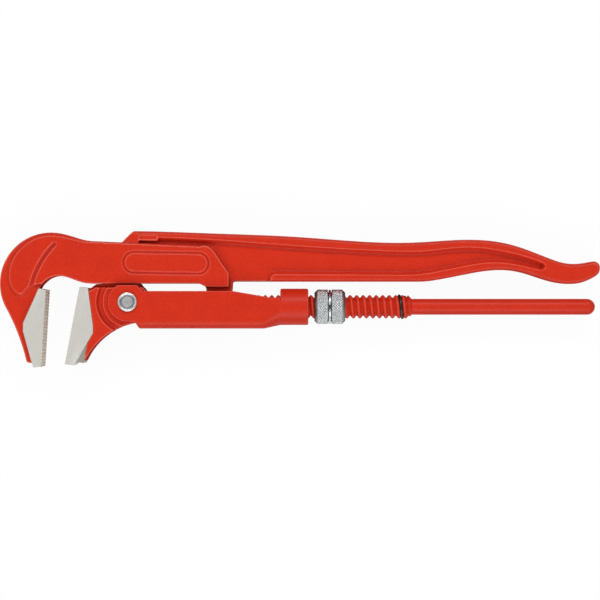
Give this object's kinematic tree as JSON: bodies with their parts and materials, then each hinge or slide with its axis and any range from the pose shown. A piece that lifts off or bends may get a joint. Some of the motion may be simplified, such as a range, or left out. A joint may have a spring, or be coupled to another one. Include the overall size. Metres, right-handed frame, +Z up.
{
  "type": "pipe wrench",
  "caption": "Swedish-pattern pipe wrench: hooked upper leg, floating toothed jaw in a sliding sleeve, and a threaded lower leg with a knurled adjusting nut.",
  "frame": {"origin": "under the middle of the wrench's box as it lies on its side", "axes": "+X along the legs toward the handle ends, +Y from the lower leg to the upper leg, +Z up through the thickness"},
  "size_m": [0.3204, 0.0728, 0.0217],
  "materials": {
    "red_paint": "satin gloss",
    "ground_steel": "ground",
    "zinc_plate": "zinc plated",
    "dark_wire": "black oxide"
  },
  "bodies": {
    "upper_leg": {"upper_leg": "red_paint", "hook_jaw_insert": "ground_steel"},
    "lower_leg": {"threaded_leg": "red_paint", "hinge_pin": "ground_steel", "stop_ring": "dark_wire"},
    "sleeve": {"sleeve": "red_paint", "jaw_rivet": "zinc_plate"},
    "lower_jaw": {"lower_jaw": "red_paint", "lower_jaw_insert": "ground_steel"},
    "nut": {"adjusting_nut": "zinc_plate", "nut_ring": "zinc_plate"}
  },
  "joints": [
    {"name": "handle_squeeze", "type": "hinge", "parent": "upper_leg", "child": "lower_leg", "pos_m": [-0.04316, -0.00407, 0.01085], "axis": [0, 0, 1], "range_deg": [0, 2.3]},
    {"name": "sleeve_slide", "type": "slide", "parent": "lower_leg", "child": "sleeve", "axis": [1, 0, 0], "range_m": [-0.009, 0.0275]},
    {"name": "jaw_swing", "type": "hinge", "parent": "sleeve", "child": "lower_jaw", "pos_m": [-0.09166, -0.00147, 0.01085], "axis": [0, 0, 1], "range_deg": [-5.8, 0]},
    {"name": "nut_spin", "type": "hinge", "parent": "sleeve", "child": "nut", "pos_m": [0.01594, -0.00407, 0.01085], "axis": [1, 0, 0], "continuous": true}
  ],
  "couplings": [
    {"joint": "jaw_swing", "follows": "handle_squeeze", "ratio": -2.5},
    {"joint": "nut_spin", "follows": "sleeve_slide", "rad_per_m": 1795.2}
  ]
}
